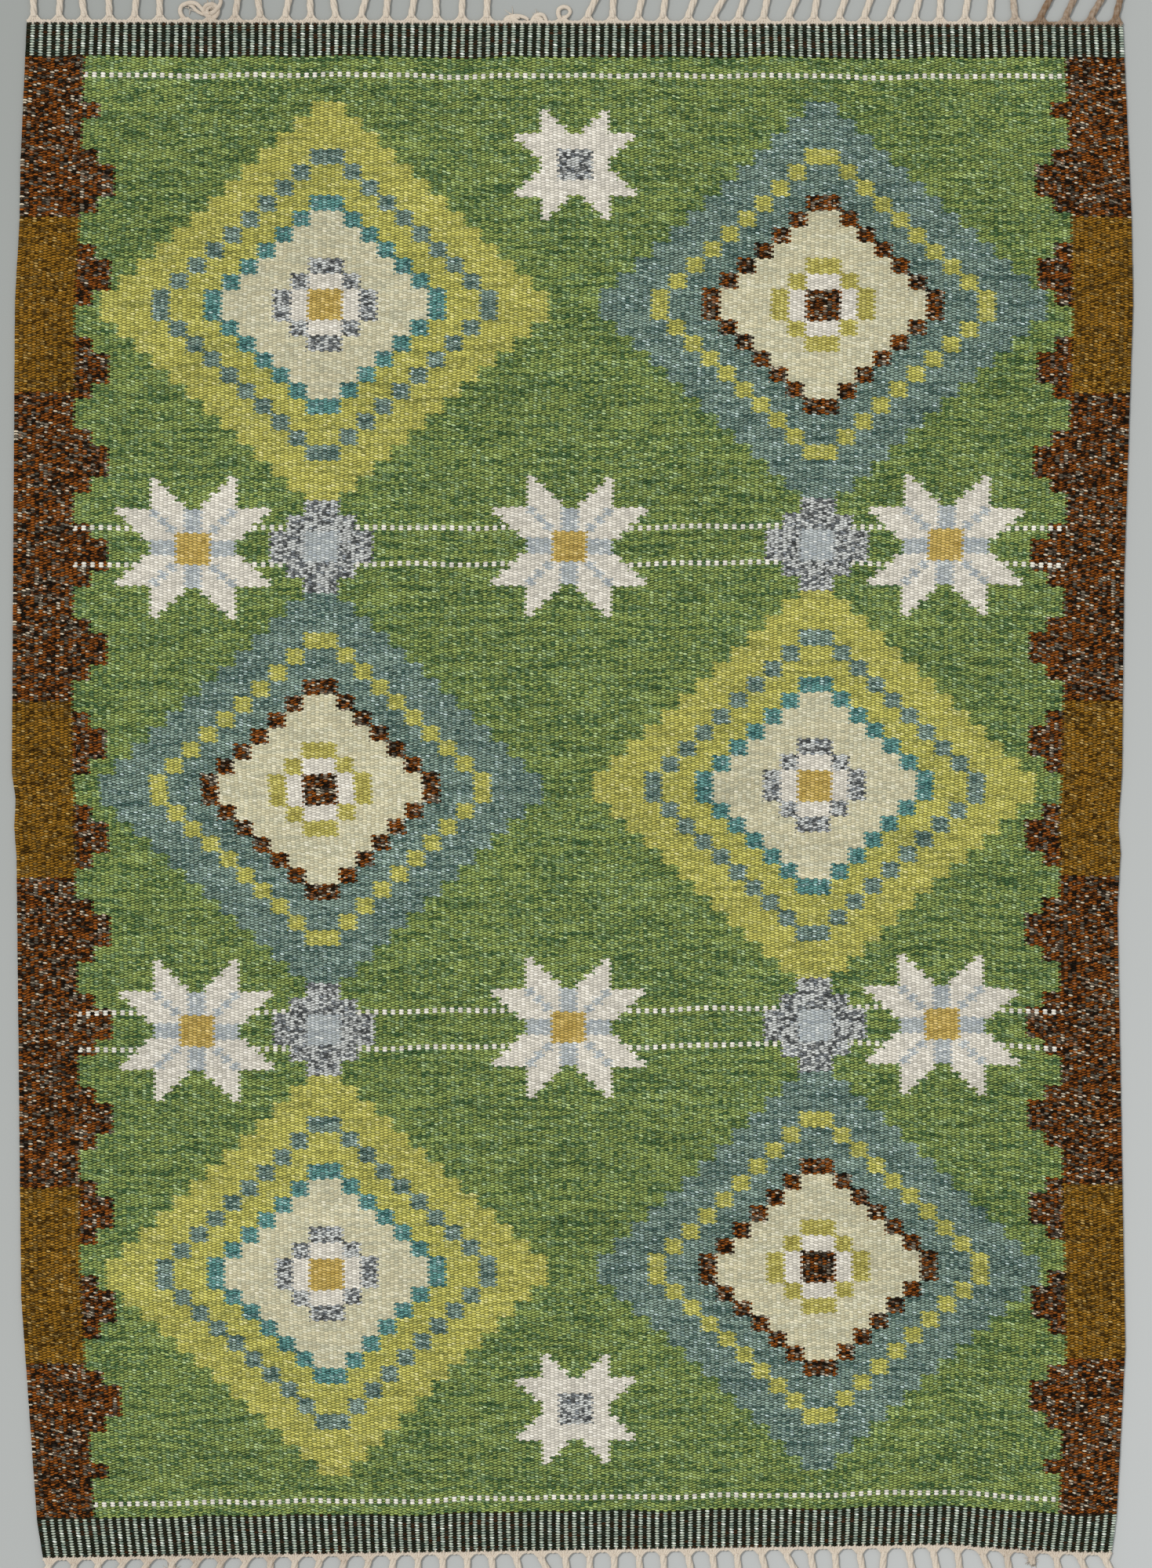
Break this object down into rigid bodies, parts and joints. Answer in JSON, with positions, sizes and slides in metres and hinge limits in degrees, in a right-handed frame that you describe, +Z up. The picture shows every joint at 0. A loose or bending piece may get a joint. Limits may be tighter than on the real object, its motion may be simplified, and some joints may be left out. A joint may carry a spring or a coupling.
{
  "type": "flatweave rug",
  "caption": "Flat weft-faced wool rug with stepped diamonds and stars on a heathered green ground, and a loose cord fringe at both ends.",
  "frame": {"origin": "middle of the whole rug's footprint, fringes included, on the floor at the underside", "axes": "+Z up, +Y along the rug's length towards the far fringe, +X across its width"},
  "size_m": [1.43, 2.131, 0.0056],
  "materials": {
    "woven_wool": "matt",
    "warp_yarn": "matt"
  },
  "bodies": {
    "root": {"rug_cloth": "woven_wool", "fringe_far": "warp_yarn", "fringe_near": "warp_yarn"}
  },
  "joints": []
}
